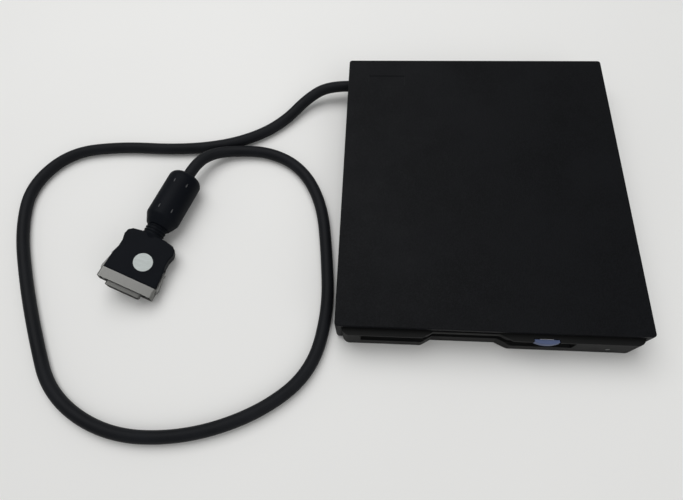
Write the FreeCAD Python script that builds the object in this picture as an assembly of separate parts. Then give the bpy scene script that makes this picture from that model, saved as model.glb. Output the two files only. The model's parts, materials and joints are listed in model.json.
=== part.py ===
import FreeCAD, Part
import math
import os

from FreeCAD import Placement, Rotation, Vector

# External floppy disk drive lying on its feet, with its captive cable and plug.
# Millimetres, +Z up, -Y towards the slot side, origin under the middle of the case.

# Case
case_width = 141.0
case_depth = 158.5
case_height = 18.5
foot_height = 0.6
foot_inset = 15.5
floor_thickness = 1.2
roof_thickness = 2.0
side_wall = 3.0
back_wall = 2.5
case_corner = 1.6
roof_edge = 0.4
badge_size = (20.0, 8.0)
badge_inset = (11.5, 11.5)
badge_depth = 0.3
rim_height = 3.2
rim_thickness = 1.2
fit_gap = 0.15

# Front moulding
bezel_reach = 3.2
bezel_half_width = 67.2
bezel_height = 15.0
bezel_wall = 2.6
bezel_back = 3.0
bezel_round_x = 4.5
bezel_round_start = 0.5
lip_shadow = 0.5
scoop_floor = 0.3
scoop_backing = 0.9
scoop_left = (-30.6, -25.6)
scoop_right = (4.2, 10.3)
led_at = (53.5, 7.2)
led_radius = 1.0

# Disk slot, named by the disk that goes through it
disk_centre = -10.5
disk_width = 90.0
disk_length = 94.0
slot_width = 95.0
slot_bottom = 7.6
slot_top = 12.1
slot_recess = 1.2
slot_recess_margin = 0.6
flap_gap = 0.3
flap_thickness = 0.8
flap_pivot_height = 13.1
flap_knuckle = 0.65
flap_pin = 0.5
pin_clearance = 0.05
ear_thickness = 1.5

# Eject button
button_reach = 4.1
button_centre = 24.6
button_width = 11.0
button_back = 1.8
button_shoulder = 3.0
button_bottom = 12.3
button_top = 15.1
button_gap = 0.25
stem_width = 6.0
stem_bottom = 14.0
stem_top = 14.6
eject_travel = 4.5

# Drive unit
sheet = 0.8
chassis_half = 49.4
chassis_front = 3.4
chassis_length = 132.6
chassis_floor = 3.8
chassis_top = 15.2
board_bottom = 2.4
board_thickness = 0.8
cradle_half = 46.4
cradle_front = 8.6
cradle_end = 99.5
cradle_bottom = 7.1
cradle_ceiling = 12.1
cradle_sheet = 0.6
cradle_drop = 2.2
rail_width = 8.4
pin_radius = 1.0
pin_height = 9.8
pin_rows = (26.0, 86.0)
slot_clearance = 0.15
slider_half = 47.9
slider_front = 13.0
slider_end = 108.0
slider_level = 13.3
slider_skirt_bottom = 5.6
shield_thickness = 0.5

# Turntable and head parts
spindle_from_front = 57.5
rotor_radius = 20.5
rotor_bottom = 3.9
rotor_top = 5.7
hub_radius = 6.0
hub_height = 0.4
spindle_radius = 1.5
centre_pin_radius = 2.0
centre_pin_top = 7.4
bearing_radius = 4.0
coil_count = 9
head_from_spindle = 39.5
head_travel = 16.0
screw_offset = 22.0
screw_height = 7.0
screw_radius = 1.0
motor_radius = 4.8
rod_offset = -13.0
rod_height = 6.6
rod_radius = 1.25
arm_pivot_height = 12.9
arm_pivot_from_front = 118.7
lever_pivot = (38.0, 98.0)
lever_length = 24.0
lever_angle = 230.0

# Cable, sleeve and plug
cable_diameter = 6.2
cable_lift = 0.05
exit_height = 9.0
exit_from_back = 10.8
lead_in_run = 8.9
grommet_radius = 4.6
grommet_flange = 5.6
clamp_gap = 3.0
clamp_width = 5.0
lead_height = 5.4
socket_left = 47.0
board_span = (46.0, 60.5)
plug_origin = (-176.6, -59.5, 9.0)
plug_heading = -18.6
plug_roll = 20.0
plug_width = 27.4
plug_thickness = 9.0
band_length = 5.0
band_wall = 0.6
plug_length = 29.6
neck_end = 35.2
neck_radius = 5.3
neck_offset = -1.5
band_step = 0.4
label_at = (2.0, 14.7)
sleeve_radius = 8.8
sleeve_end = 68.4
shroud_width = 18.6
shroud_height = 6.0
shroud_reach = 2.2
contact_count = 10
contact_pitch = 1.27
label_radius = 4.7

# Places that follow from the sizes above
y_front = button_reach - (case_depth + button_reach) / 2.0
y_back = y_front + case_depth
x_side = case_width / 2.0
exit_y = y_back - exit_from_back
floor_top = foot_height + floor_thickness
roof_under = case_height - roof_thickness
y_spindle = y_front + spindle_from_front
board_top = board_bottom + board_thickness
boss_places = [(sx * 64.0, y_front + dy) for dy in (9.0, 133.2) for sx in (-1, 1)]
boss_radius = 2.6
screw_shank = 1.0
post_places = [(disk_centre + sx * 52.0, y_front + dy) for dy in (20.0, 120.0) for sx in (-1, 1)]
foot_places = [(sx * (x_side - foot_inset), sy * (case_depth / 2.0 - foot_inset)) for sy in (-1, 1) for sx in (-1, 1)]
foot_radius = 5.0
foot_recess = 0.5

pieces = {}


def keep(name, shape):
    """Store one finished piece under its node name."""
    pieces[name] = shape.removeSplitter()


def box(x0, x1, y0, y1, z0, z1):
    return Part.makeBox(x1 - x0, y1 - y0, z1 - z0, Vector(x0, y0, z0))


def rod(start, direction, length, radius):
    return Part.makeCylinder(radius, length, Vector(*start), Vector(*direction))


def disc(x, y, z0, z1, radius):
    return rod((x, y, z0), (0, 0, 1), z1 - z0, radius)


def cone(x, y, z0, z1, radius0, radius1):
    return Part.makeCone(radius0, radius1, z1 - z0, Vector(x, y, z0), Vector(0, 0, 1))


def prism(points, z0, z1):
    """Upright solid on a closed outline of (x, y) points."""
    ring = [Vector(x, y, z0) for x, y in points]
    wire = Part.makePolygon(ring + ring[:1])
    return Part.Face(wire).extrude(Vector(0, 0, z1 - z0))


def plate(x0, x1, y0, y1, z0, z1, corner):
    """Box with rounded upright corners."""
    solid = box(x0, x1, y0, y1, z0, z1)
    return solid.makeFillet(corner, edges_along(solid, Vector(0, 0, 1)))


def edges_along(solid, direction):
    chosen = []
    for edge in solid.Edges:
        if edge.Curve.TypeId == "Part::GeomLine":
            if abs(abs(edge.tangentAt(edge.FirstParameter).dot(direction)) - 1.0) < 1e-6:
                chosen.append(edge)
    return chosen


def edges_at_height(solid, z):
    return [e for e in solid.Edges if abs(e.BoundBox.ZMin - z) < 1e-4 and abs(e.BoundBox.ZMax - z) < 1e-4]


def revolve_y(profile):
    """Solid of revolution about the Y axis from (radius, y) points."""
    ring = [Vector(r, y, 0) for r, y in profile]
    face = Part.Face(Part.makePolygon(ring + ring[:1]))
    return face.revolve(Vector(0, 0, 0), Vector(0, 1, 0), 360)


def tube_path(points, radius, share=0.45):
    """Tube of straight runs joined by tangent arcs, with its length and its radii."""
    points = [Vector(*p) for p in points]
    edges = []
    radii = []
    length = 0.0
    last = points[0]
    for before, corner, after in zip(points, points[1:], points[2:]):
        run_in = corner - before
        run_out = after - corner
        turn = run_in.getAngle(run_out)
        setback = share * min(run_in.Length, run_out.Length)
        bend = setback / math.tan(turn / 2.0)
        way_in = Vector(run_in).normalize()
        way_out = Vector(run_out).normalize()
        arc_start = corner - way_in * setback
        arc_end = corner + way_out * setback
        inward = (way_out - way_in).normalize()
        centre = corner + inward * (bend / math.cos(turn / 2.0))
        middle = centre - inward * bend
        edges.append(Part.LineSegment(last, arc_start).toShape())
        edges.append(Part.Arc(arc_start, middle, arc_end).toShape())
        length += (arc_start - last).Length + bend * turn
        radii.append(round(bend, 1))
        last = arc_end
    edges.append(Part.LineSegment(last, points[-1]).toShape())
    length += (points[-1] - last).Length
    path = Part.Wire(edges)
    section = Part.Wire(Part.makeCircle(radius, points[0], points[1] - points[0]))
    return path.makePipeShell([section], True, False), length, radii


def top_cover():
    cover = plate(-x_side, x_side, y_front, y_back, floor_top, case_height, case_corner)
    cover = cover.makeFillet(roof_edge, edges_at_height(cover, case_height))
    inner_x = x_side - side_wall
    cover = cover.cut(box(-inner_x, inner_x, y_front - 5.0, y_back - back_wall, 0.0, roof_under))
    for x, y in boss_places:
        boss = disc(x, y, floor_top, roof_under, boss_radius)
        web = box(min(x, math.copysign(inner_x, x)), max(x, math.copysign(inner_x, x)),
                  y - 0.6, y + 0.6, floor_top + rim_height + 1.0, roof_under)
        cover = cover.fuse([boss, web])
    for x, y in boss_places:
        cover = cover.cut(disc(x, y, floor_top - 1.0, roof_under - 4.0, screw_shank + pin_clearance))
    badge_x = -x_side + badge_inset[0]
    badge_y = y_back - badge_inset[1]
    cover = cover.cut(plate(badge_x, badge_x + badge_size[0], badge_y - badge_size[1], badge_y,
                            case_height - badge_depth, case_height + 1.0, 0.8))
    wall_hole = rod((-x_side - 1.0, exit_y, exit_height), (1, 0, 0), side_wall + 2.0, grommet_radius)
    counterbore = rod((-x_side - 1.0, exit_y, exit_height), (1, 0, 0), 1.6, grommet_flange)
    keep("top_cover", cover.cut(wall_hole).cut(counterbore))


def bottom_cover():
    base = plate(-x_side, x_side, y_front, y_back, foot_height, floor_top, case_corner)
    base = base.makeChamfer(0.4, edges_at_height(base, foot_height))
    rim_x = x_side - side_wall - fit_gap
    rim_back = y_back - back_wall - fit_gap
    rim_front = y_front + bezel_back + fit_gap
    rim = box(-rim_x, rim_x, rim_front, rim_back, floor_top, floor_top + rim_height)
    rim = rim.cut(box(-rim_x + rim_thickness, rim_x - rim_thickness, rim_front - 1.0,
                      rim_back - rim_thickness, floor_top - 1.0, floor_top + rim_height + 1.0))
    for x, y in boss_places:
        rim = rim.cut(disc(x, y, 0.0, case_height, boss_radius + fit_gap))
    rim = rim.cut(box(-x_side, -x_side + 8.0, exit_y - grommet_flange - 0.5,
                      exit_y + grommet_flange + 0.5, floor_top, case_height))
    posts = [disc(x, y, floor_top, chassis_floor, 2.4) for x, y in post_places]
    posts += [disc(x, y, floor_top, board_bottom, 1.8) for x, y in board_posts()]
    base = base.fuse([rim] + posts)
    for x, y in boss_places:
        base = base.cut(disc(x, y, 0.0, floor_top + 1.0, screw_shank + 0.2))
        base = base.cut(cone(x, y, foot_height, foot_height + 1.0, 2.2, screw_shank + 0.2))
    for x, y in post_places:
        base = base.cut(disc(x, y, foot_height + 0.6, chassis_floor + 1.0, screw_shank))
    for x, y in foot_places:
        base = base.cut(disc(x, y, foot_height - 1.0, foot_height + foot_recess, foot_radius + fit_gap))
    keep("bottom_cover", base)


def board_posts():
    """Posts under the interface board."""
    return [(50.0, y_front + 24.0), (57.0, y_front + 90.0), (50.0, y_front + 138.0)]


def rubber_feet():
    feet = []
    for x, y in foot_places:
        foot = disc(x, y, 0.0, foot_height + foot_recess, foot_radius)
        feet.append(foot.makeFillet(0.3, edges_at_height(foot, 0.0)))
    keep("rubber_feet", Part.makeCompound(feet))


def screw(x, y, head_z, head_height, head_radius, shank_top, up, recess=0.45):
    """Screw with a cross recess; up is 1 when its point is above its head."""
    axis = Vector(0, 0, up)
    at = Vector(x, y, head_z)
    head = Part.makeCone(head_radius, screw_shank, head_height, at, axis)
    shank = Part.makeCylinder(screw_shank - pin_clearance, abs(shank_top - head_z), at, axis)
    body = head.fuse(shank)
    for angle in (0, 90):
        bar = box(-head_radius * 0.6, head_radius * 0.6, -0.2, 0.2, -recess, recess)
        bar.rotate(Vector(0, 0, 0), Vector(0, 0, 1), angle)
        bar.translate(at)
        body = body.cut(bar)
    return body


def case_screws():
    group = [screw(x, y, foot_height + 0.05, 1.0, 2.1, 9.0, 1) for x, y in boss_places]
    keep("case_screws", Part.makeCompound(group))


def front_bezel():
    reach = y_front - bezel_reach
    turn_y = y_front - bezel_round_start
    left = -bezel_half_width
    right = bezel_half_width
    middle = 1.0 - math.sqrt(0.5)
    depth = bezel_reach - bezel_round_start
    outline = [
        Part.LineSegment(Vector(left, y_front + bezel_back, 0), Vector(left, turn_y, 0)),
        Part.Arc(Vector(left, turn_y, 0),
                 Vector(left + middle * bezel_round_x, turn_y - (1 - middle) * depth, 0),
                 Vector(left + bezel_round_x, reach, 0)),
        Part.LineSegment(Vector(left + bezel_round_x, reach, 0), Vector(right - bezel_round_x, reach, 0)),
        Part.Arc(Vector(right - bezel_round_x, reach, 0),
                 Vector(right - middle * bezel_round_x, turn_y - (1 - middle) * depth, 0),
                 Vector(right, turn_y, 0)),
        Part.LineSegment(Vector(right, turn_y, 0), Vector(right, y_front + bezel_back, 0)),
        Part.LineSegment(Vector(right, y_front + bezel_back, 0), Vector(left, y_front + bezel_back, 0)),
    ]
    face = Part.Face(Part.Wire([curve.toShape() for curve in outline]))
    face.translate(Vector(0, 0, foot_height))
    bezel = face.extrude(Vector(0, 0, bezel_height - foot_height))
    wedge = prism([(reach - 0.1, foot_height - 0.1), (reach + 0.8, foot_height - 0.1),
                   (reach - 0.1, foot_height + 0.8)], left, right)
    wedge.rotate(Vector(0, 0, 0), Vector(1, 1, 1), 120)
    bezel = bezel.cut(wedge)
    bezel = bezel.cut(box(left - 1, right + 1, y_front, y_front + 9.0, 0.0, floor_top + fit_gap))
    upstand = box(left, right, y_front + lip_shadow, y_front + bezel_back, bezel_height - 1.0,
                  roof_under - 0.1)
    bezel = bezel.fuse(upstand)
    pocket_face = y_front - bezel_reach + bezel_wall
    pocket_top = flap_pivot_height + flap_knuckle + fit_gap
    pocket = box(left + 2.6, right - 2.6, pocket_face, y_front + 9.0, floor_top + 1.4, pocket_top)
    backing = box(scoop_left[0] - 1.4, scoop_right[1] + 1.4, pocket_face, y_front + scoop_backing,
                  0.0, case_height)
    bezel = bezel.cut(pocket.cut(backing))
    scoop = prism([(scoop_left[0], reach - 0.1), (scoop_left[1], y_front - scoop_floor),
                   (scoop_right[0], y_front - scoop_floor), (scoop_right[1], reach - 0.1)],
                  0.0, case_height)
    bezel = bezel.cut(scoop)
    slot_x0 = disk_centre - slot_width / 2.0
    slot_x1 = disk_centre + slot_width / 2.0
    margin = slot_recess_margin
    bezel = bezel.cut(box(slot_x0 - margin, slot_x1 + margin, reach - 1.0, reach + slot_recess,
                          slot_bottom - margin, slot_top + 1.9))
    bezel = bezel.cut(box(slot_x0, slot_x1, reach - 1.0, y_front + 9.0, slot_bottom, slot_top))
    ears = [box(x0, x0 + ear_thickness, pocket_face, y_front + 2.6, flap_pivot_height - 1.0, pocket_top)
            for x0 in ear_places()]
    bezel = bezel.fuse(ears)
    bezel = bezel.cut(rod((-x_side, y_flap(), flap_pivot_height), (1, 0, 0), case_width,
                          flap_pin + pin_clearance).common(box(-62.0, 41.0, y_front - 3, y_front + 3, 0, 20)))
    bezel = bezel.cut(button_block(button_gap, button_bottom - button_gap, case_height))
    half = stem_width / 2.0 + button_gap
    bezel = bezel.cut(box(button_centre - half, button_centre + half, reach - 1.0, y_front + 9.0,
                          slot_top + 0.9, stem_top + button_gap / 2.0))
    bezel = bezel.cut(rod((led_at[0], reach - 1.0, led_at[1]), (0, 1, 0), 9.0, led_radius + pin_clearance))
    keep("front_bezel", bezel)


def ear_places():
    """Left edges of the two ears that hold the flap."""
    flap_half = slot_width / 2.0 + 0.4
    return (disk_centre - flap_half - flap_gap - ear_thickness, disk_centre + flap_half + flap_gap)


def y_flap():
    return y_front + scoop_backing + 0.3 + flap_thickness / 2.0


def slot_flap():
    half = slot_width / 2.0 + 0.4
    x0 = disk_centre - half
    x1 = disk_centre + half
    y = y_flap()
    flap = box(x0, x1, y - flap_thickness / 2.0, y + flap_thickness / 2.0, slot_bottom - 0.5,
               flap_pivot_height)
    flap = flap.fuse(rod((x0, y, flap_pivot_height), (1, 0, 0), x1 - x0, flap_knuckle))
    reach = flap_gap + ear_thickness
    flap = flap.fuse(rod((x0 - reach - 2.2, y, flap_pivot_height), (1, 0, 0), reach + 2.2, flap_pin))
    flap = flap.fuse(rod((x1, y, flap_pivot_height), (1, 0, 0), reach, flap_pin))
    keep("slot_flap", flap)


def flap_spring():
    """Coiled part of the flap's torsion spring and its leg to the moulding."""
    x0 = ear_places()[0] - 2.0
    y = y_flap()
    coil = rod((x0, y, flap_pivot_height), (1, 0, 0), 1.7, 0.75)
    coil = coil.cut(rod((x0 - 1, y, flap_pivot_height), (1, 0, 0), 4.0, flap_pin + 0.06))
    leg = box(x0, x0 + 0.3, y_front - bezel_reach + bezel_wall, y, flap_pivot_height - 0.73,
              flap_pivot_height - 0.57)
    leg = leg.cut(rod((x0 - 1, y, flap_pivot_height), (1, 0, 0), 4.0, flap_pin + 0.06))
    keep("flap_spring", coil.fuse(leg))


def led_lens():
    reach = y_front - bezel_reach
    lens = rod((led_at[0], reach - 0.1, led_at[1]), (0, 1, 0), bezel_reach + 15.0, led_radius)
    collar = rod((led_at[0], reach + bezel_wall, led_at[1]), (0, 1, 0), 0.8, led_radius + 0.5)
    keep("led_lens", lens.fuse(collar))


def button_block(grow, z0, z1):
    """Half-moon block of the eject button, grown all round by a gap."""
    half = button_width / 2.0 + grow
    back = y_front - button_back + grow
    shoulder = y_front - button_shoulder - grow
    front = y_front - button_reach - grow
    curves = [
        Part.LineSegment(Vector(button_centre + half, back, z0), Vector(button_centre - half, back, z0)),
        Part.LineSegment(Vector(button_centre - half, back, z0), Vector(button_centre - half, shoulder, z0)),
        Part.Arc(Vector(button_centre - half, shoulder, z0), Vector(button_centre, front, z0),
                 Vector(button_centre + half, shoulder, z0)),
        Part.LineSegment(Vector(button_centre + half, shoulder, z0), Vector(button_centre + half, back, z0)),
    ]
    face = Part.Face(Part.Wire([curve.toShape() for curve in curves]))
    return face.extrude(Vector(0, 0, z1 - z0))


def eject_button():
    back = y_front - button_back
    button = button_block(0.0, button_bottom, button_top)
    button = button.makeFillet(0.4, edges_at_height(button, button_top))
    tongue = box(button_centre - 1.6, button_centre + 1.6, back, back + 1.4, stem_bottom - 0.7, stem_bottom)
    keep("eject_button", button.fuse(tongue))


def eject_slider():
    """Sheet with a stem to the button and ramp slots that carry the cradle's pins."""
    front = y_front + slider_front
    end = y_front + slider_end
    top = slider_level + sheet
    skirt_x = slider_half - sheet
    slider = box(disk_centre - slider_half, disk_centre + slider_half, front, end, slider_level, top)
    slider = slider.cut(box(disk_centre - 33.0, disk_centre + 33.0, front + 17.0, end + 1.0,
                            slider_level - 1.0, top + 1.0))
    ramp = [(y_front + row + dy, pin_height + dz) for row in pin_rows for dy, dz in
            ((0.0, 0.0), (eject_travel, -cradle_drop))]
    radius = pin_radius + slot_clearance
    for side in (-1, 1):
        x0 = disk_centre + side * skirt_x
        x1 = disk_centre + side * slider_half
        skirt = box(min(x0, x1), max(x0, x1), front + 3.0, end - 8.0, slider_skirt_bottom, top)
        for start, finish in zip(ramp[::2], ramp[1::2]):
            skirt = skirt.cut(ramp_slot(min(x0, x1) - 0.5, start, finish, radius))
        slider = slider.fuse(skirt)
        tab_x = disk_centre + side * 42.0
        slider = slider.fuse(box(tab_x - 3.0, tab_x + 3.0, end - sheet, end, 10.6, top))
    stem = box(button_centre - stem_width / 2.0, button_centre + stem_width / 2.0,
               y_front - button_back, front + 3.0, stem_bottom, stem_top)
    riser = box(button_centre - stem_width / 2.0, button_centre + stem_width / 2.0, front, front + 3.0,
                slider_level, stem_top)
    keep("eject_slider", slider.fuse([stem, riser]))


def ramp_slot(x, start, finish, radius):
    """Round-ended slot through a sheet, from one pin place to the other."""
    run = Vector(0, finish[0] - start[0], finish[1] - start[1])
    across = Vector(0, -run.z, run.y).normalize() * radius
    a = Vector(x, start[0], start[1])
    b = Vector(x, finish[0], finish[1])
    ring = [a + across, b + across, b - across, a - across, a + across]
    slot = Part.Face(Part.makePolygon(ring)).extrude(Vector(2.0, 0, 0))
    for end in (start, finish):
        slot = slot.fuse(rod((x, end[0], end[1]), (1, 0, 0), 2.0, radius))
    return slot


def disk_cradle():
    """Carrier that holds the disk and drops it onto the turntable."""
    front = y_front + cradle_front
    end = y_front + cradle_end
    outer = cradle_half
    inner = outer - sheet
    top = cradle_ceiling + cradle_sheet
    shell = box(disk_centre - outer, disk_centre + outer, front, end, cradle_bottom, top)
    shell = shell.cut(box(disk_centre - inner, disk_centre + inner, front - 1.0, end + 1.0,
                          cradle_bottom + cradle_sheet, cradle_ceiling))
    shell = shell.cut(box(disk_centre - inner + rail_width - sheet, disk_centre + inner - rail_width + sheet,
                          front - 1.0, end + 1.0, cradle_bottom - 1.0, cradle_bottom + 1.0))
    shell = shell.cut(box(disk_centre - 13.0, disk_centre + 25.5, y_front + 74.0, end + 1.0,
                          cradle_ceiling - 0.5, top + 1.0))
    for x in (-24.0, 8.0):
        shell = shell.cut(plate(disk_centre + x, disk_centre + x + 16.0, y_front + 24.0, y_front + 60.0,
                                cradle_ceiling - 1.0, top + 1.0, 2.0))
    pivot_x = disk_centre + lever_pivot[0]
    pivot_y = y_front + lever_pivot[1] - 3.0
    shell = shell.cut(disc(pivot_x, pivot_y, cradle_ceiling - 1.0, top + 1.0, 1.2))
    keep("disk_cradle", shell)


def cradle_pins():
    pins = []
    reach = chassis_half - 0.1 - cradle_half
    for row in pin_rows:
        for side in (-1, 1):
            x0 = disk_centre + side * cradle_half
            pins.append(rod((x0, y_front + row, pin_height), (side, 0, 0), reach, pin_radius))
    keep("cradle_pins", Part.makeCompound(pins))


def lever_places():
    x = disk_centre + lever_pivot[0]
    y = y_front + lever_pivot[1] - 3.0
    angle = math.radians(lever_angle)
    return x, y, x + lever_length * math.cos(angle), y + lever_length * math.sin(angle)


def shutter_lever():
    x, y, tip_x, tip_y = lever_places()
    z0 = cradle_ceiling + cradle_sheet + 0.05
    z1 = z0 + 0.4
    arm = disc(x, y, z0, z1, 3.0).fuse(disc(tip_x, tip_y, z0, z1, 2.0))
    along = Vector(tip_x - x, tip_y - y, 0).normalize()
    across = Vector(-along.y, along.x, 0)
    corners = [Vector(x, y, 0) + across * 2.6, Vector(tip_x, tip_y, 0) + across * 1.8,
               Vector(tip_x, tip_y, 0) - across * 1.8, Vector(x, y, 0) - across * 2.6]
    arm = arm.fuse(prism([(c.x, c.y) for c in corners], z0, z1))
    finger = disc(tip_x, tip_y, slot_bottom + 1.2, z0, 1.2)
    bore = disc(x, y, z0 - 1.0, z1 + 1.0, 1.2 + pin_clearance)
    keep("shutter_lever", arm.fuse(finger).cut(bore))


def lever_rivet():
    x, y, _, _ = lever_places()
    keep("lever_rivet", disc(x, y, cradle_ceiling, slider_level - 0.1, 1.2))


def drive_chassis():
    """Steel pan with side walls, spring tabs, ears and rod supports."""
    x0 = disk_centre - chassis_half
    x1 = disk_centre + chassis_half
    y0 = y_front + chassis_front
    y1 = y0 + chassis_length
    top = chassis_floor + sheet
    pan = box(x0, x1, y0, y1, chassis_floor, top)
    walls = [box(x0, x0 + sheet, y0 + 6.0, y1, chassis_floor, chassis_top),
             box(x1 - sheet, x1, y0 + 6.0, y1, chassis_floor, chassis_top),
             box(x0, x1, y1 - sheet, y1, chassis_floor, 10.0)]
    tabs = [box(disk_centre + s * 42.0 - 3.0, disk_centre + s * 42.0 + 3.0, y_front + 126.0,
                y_front + 126.0 + sheet, chassis_floor, 14.2) for s in (-1, 1)]
    ears = []
    for x, y in post_places:
        ears.append(box(min(x, disk_centre + math.copysign(chassis_half - 1.0, x - disk_centre)),
                        max(x, disk_centre + math.copysign(chassis_half - 1.0, x - disk_centre)),
                        y - 3.0, y + 3.0, chassis_floor, top))
        ears.append(disc(x, y, chassis_floor, top, 3.0))
    rod_x = disk_centre + rod_offset
    rests = [box(rod_x - 2.4, rod_x + 2.4, y_front + dy, y_front + dy + sheet, chassis_floor,
                 rod_height + rod_radius + 1.0) for dy in (97.0, 131.0)]
    pads = [disc(disk_centre + dx, y_front + dy, board_top, chassis_floor, 1.6)
            for dx, dy in ((-40.0, 16.0), (40.0, 16.0), (-40.0, 108.0), (30.0, 112.0))]
    pan = pan.fuse(walls + tabs + ears + rests + pads)
    pan = pan.cut(disc(disk_centre, y_spindle, 0.0, case_height, rotor_radius + 1.0))
    motor_x = disk_centre + screw_offset
    pan = pan.cut(box(motor_x - motor_radius - 0.3, motor_x + motor_radius + 0.3, y_front + 119.6,
                      y1 - sheet - 1.0, 0.0, 12.0))
    for dx in (-44.0, 20.0):
        pan = pan.cut(plate(disk_centre + dx, disk_centre + dx + 24.0, y_front + 16.0, y_front + 30.0,
                            chassis_floor - 1.0, top + 0.2, 3.0))
    for x, y in post_places:
        pan = pan.cut(disc(x, y, 0.0, case_height, screw_shank + 0.1))
    for dy in (97.0, 131.0):
        pan = pan.cut(rod((rod_x, y_front + dy - 0.5, rod_height), (0, 1, 0), 2.0, rod_radius))
    for row in pin_rows:
        y = y_front + row
        gap = pin_radius + slot_clearance
        for wall_x in (x0 - 1.0, x1 - sheet - 1.0):
            pan = pan.cut(box(wall_x, wall_x + 3.0, y - gap, y + gap, pin_height - cradle_drop - gap,
                              pin_height + gap))
    keep("drive_chassis", pan)


def drive_top_shield():
    x0 = disk_centre - chassis_half - 0.1
    x1 = disk_centre + chassis_half + 0.1
    y0 = y_front + 10.0
    y1 = y_front + chassis_front + chassis_length
    top = chassis_top + shield_thickness
    lid = box(x0, x1, y0, y1, chassis_top, top)
    lid = lid.fuse([box(x0 - shield_thickness, x0, y0, y1, 9.0, top),
                    box(x1, x1 + shield_thickness, y0, y1, 9.0, top)])
    lid = lid.cut(plate(disk_centre - 30.0, disk_centre + 30.0, y_front + 70.0, y_front + 114.0,
                        chassis_top - 1.0, top + 1.0, 4.0))
    for x in (-34.0, 14.0):
        lid = lid.cut(plate(disk_centre + x, disk_centre + x + 20.0, y_front + 24.0, y_front + 34.0,
                            chassis_top - 1.0, top + 1.0, 2.0))
    keep("drive_top_shield", lid)


def slider_springs():
    springs = []
    for side in (-1, 1):
        x = disk_centre + side * 42.0
        length = 126.0 - slider_end
        start = (x, y_front + slider_end, 12.0)
        coil = rod(start, (0, 1, 0), length, 1.5)
        springs.append(coil.cut(rod(start, (0, 1, 0), length, 1.1)))
    keep("slider_springs", Part.makeCompound(springs))


def main_board():
    x0 = disk_centre - 46.0
    x1 = disk_centre + 46.0
    board = plate(x0, x1, y_front + 8.0, y_front + 118.0, board_bottom, board_top, 1.5)
    board = board.cut(disc(disk_centre, y_spindle, 0.0, 9.0, bearing_radius))
    keep("main_board", board)
    chips = [box(disk_centre + dx, disk_centre + dx + w, y_front + dy, y_front + dy + d, board_top,
                 board_top + 0.5) for dx, dy, w, d in
             ((-38.0, 84.0, 12.0, 12.0), (-20.0, 96.0, 7.0, 7.0), (12.0, 88.0, 9.0, 7.0), (32.0, 60.0, 6.0, 9.0))]
    keep("main_board_chips", Part.makeCompound(chips))


def spindle_parts():
    base = disc(disk_centre, y_spindle, board_bottom, 4.6, bearing_radius)
    base = base.cut(disc(disk_centre, y_spindle, board_bottom + 0.6, 9.0, spindle_radius + pin_clearance))
    keep("spindle_bearing", base)
    coils = []
    for k in range(coil_count):
        coil = plate(11.0, 17.5, -2.2, 2.2, board_top, 4.3, 0.9)
        coil.rotate(Vector(0, 0, 0), Vector(0, 0, 1), 360.0 * k / coil_count)
        coil.translate(Vector(disk_centre, y_spindle, 0))
        coils.append(coil)
    keep("stator_coils", Part.makeCompound(coils))
    rotor = disc(disk_centre, y_spindle, rotor_bottom, rotor_top, rotor_radius)
    rotor = rotor.cut(disc(disk_centre, y_spindle, rotor_bottom - 1.0, rotor_top - 0.8, rotor_radius - 1.2))
    for k in range(6):
        window = disc(disk_centre + 13.0, y_spindle, rotor_top - 2.0, rotor_top + 1.0, 3.2)
        window.rotate(Vector(disk_centre, y_spindle, 0), Vector(0, 0, 1), 60.0 * k + 30.0)
        rotor = rotor.cut(window)
    shaft = disc(disk_centre, y_spindle, board_bottom + 0.7, rotor_top, spindle_radius)
    keep("spindle_rotor", rotor.fuse(shaft))
    hub = disc(disk_centre, y_spindle, rotor_top, rotor_top + hub_height, hub_radius)
    nose = disc(disk_centre, y_spindle, rotor_top + hub_height, centre_pin_top, centre_pin_radius)
    nose = nose.makeChamfer(0.5, edges_at_height(nose, centre_pin_top))
    keep("spindle_hub", hub.fuse(nose))
    keep("drive_pin", disc(disk_centre + 4.6, y_spindle, rotor_top + hub_height, 6.9, 0.9))


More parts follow.
